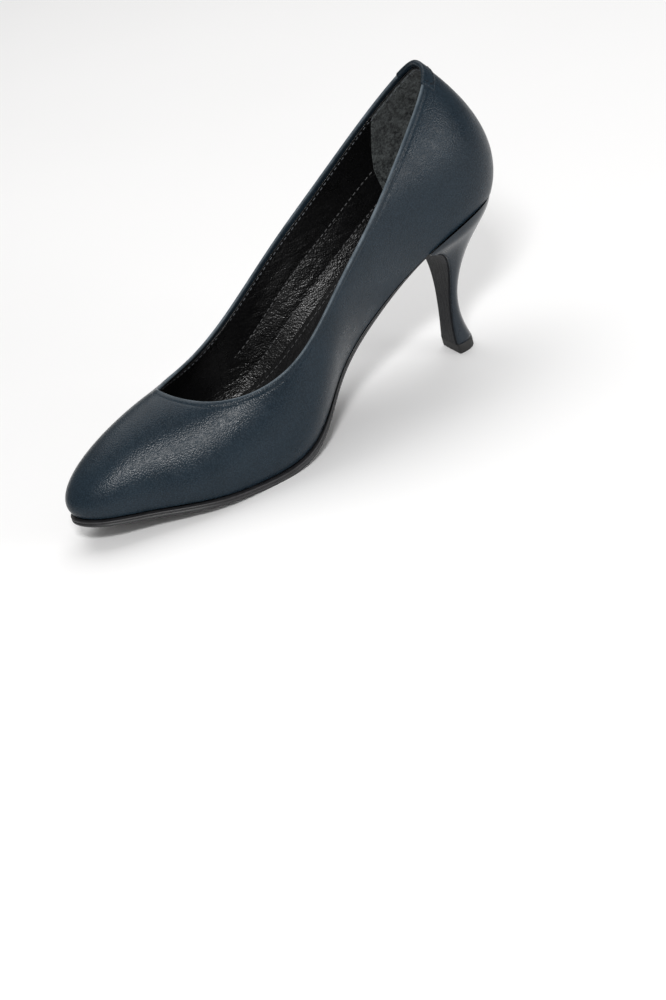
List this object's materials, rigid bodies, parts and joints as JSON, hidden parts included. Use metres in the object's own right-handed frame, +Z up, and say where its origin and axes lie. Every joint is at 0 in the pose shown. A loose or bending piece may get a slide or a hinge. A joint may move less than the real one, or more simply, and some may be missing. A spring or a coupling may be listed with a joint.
{
  "type": "high heel pump",
  "caption": "Closed court shoe for the right foot: low-cut leather upper with an almond toe, folded topline, thin sole and a slim curved high heel with a rubber top piece.",
  "frame": {"origin": "middle of the shoe's plan bounding box at floor level, with the shoe standing on its ball and its top piece", "axes": "-Y to the toe, +X to the wearer's left, which is the inner side of this right shoe, +Z up"},
  "size_m": [0.0776, 0.2356, 0.1341],
  "materials": {
    "upper_leather": "smooth fine-grain navy calf leather, soft satin sheen",
    "tape": "woven nylon topline tape",
    "stiffener": "thermoplastic stiffener sheet",
    "backer_cloth": "fused cotton backing cloth",
    "lining_leather": "black grained lining leather, low sheen",
    "suede": "black suede, napped",
    "fibreboard": "pressed cellulose board",
    "steel": "plain steel",
    "filler_felt": "felt filler",
    "insock_leather": "black grained insock leather with a soft sheen",
    "foam": "latex foam",
    "insock_thread": "grey polyester thread",
    "sole_rubber": "black sole with a satin grooved edge",
    "heel_lacquer": "navy satin lacquer over moulded plastic",
    "breast_leather": "dark sole leather with fine upright streaks",
    "top_piece_rubber": "black matt polyurethane",
    "upper_thread": "dark navy polyester thread"
  },
  "bodies": {
    "root": {"upper": "upper_leather", "back_tab": "upper_leather", "topline_tape": "tape", "heel_counter": "stiffener", "toe_puff": "stiffener", "inner_side_backer": "backer_cloth", "outer_side_backer": "backer_cloth", "vamp_lining": "lining_leather", "inner_quarter_lining": "lining_leather", "outer_quarter_lining": "lining_leather", "heel_grip": "suede", "insole_board": "fibreboard", "backpart_board": "fibreboard", "shank": "steel", "bottom_filler": "filler_felt", "insock": "insock_leather", "heel_cushion": "foam", "insock_stitches": "insock_thread", "outsole": "sole_rubber", "heel_block": "heel_lacquer", "heel_breast_flap": "breast_leather", "top_piece": "top_piece_rubber", "topline_stitches": "upper_thread", "back_tab_stitches": "upper_thread", "lining_stitches": "insock_thread", "heel_nails": "steel", "heel_screw": "steel", "shank_rivets": "steel", "heel_tube": "steel", "top_piece_pin": "steel"}
  },
  "joints": []
}
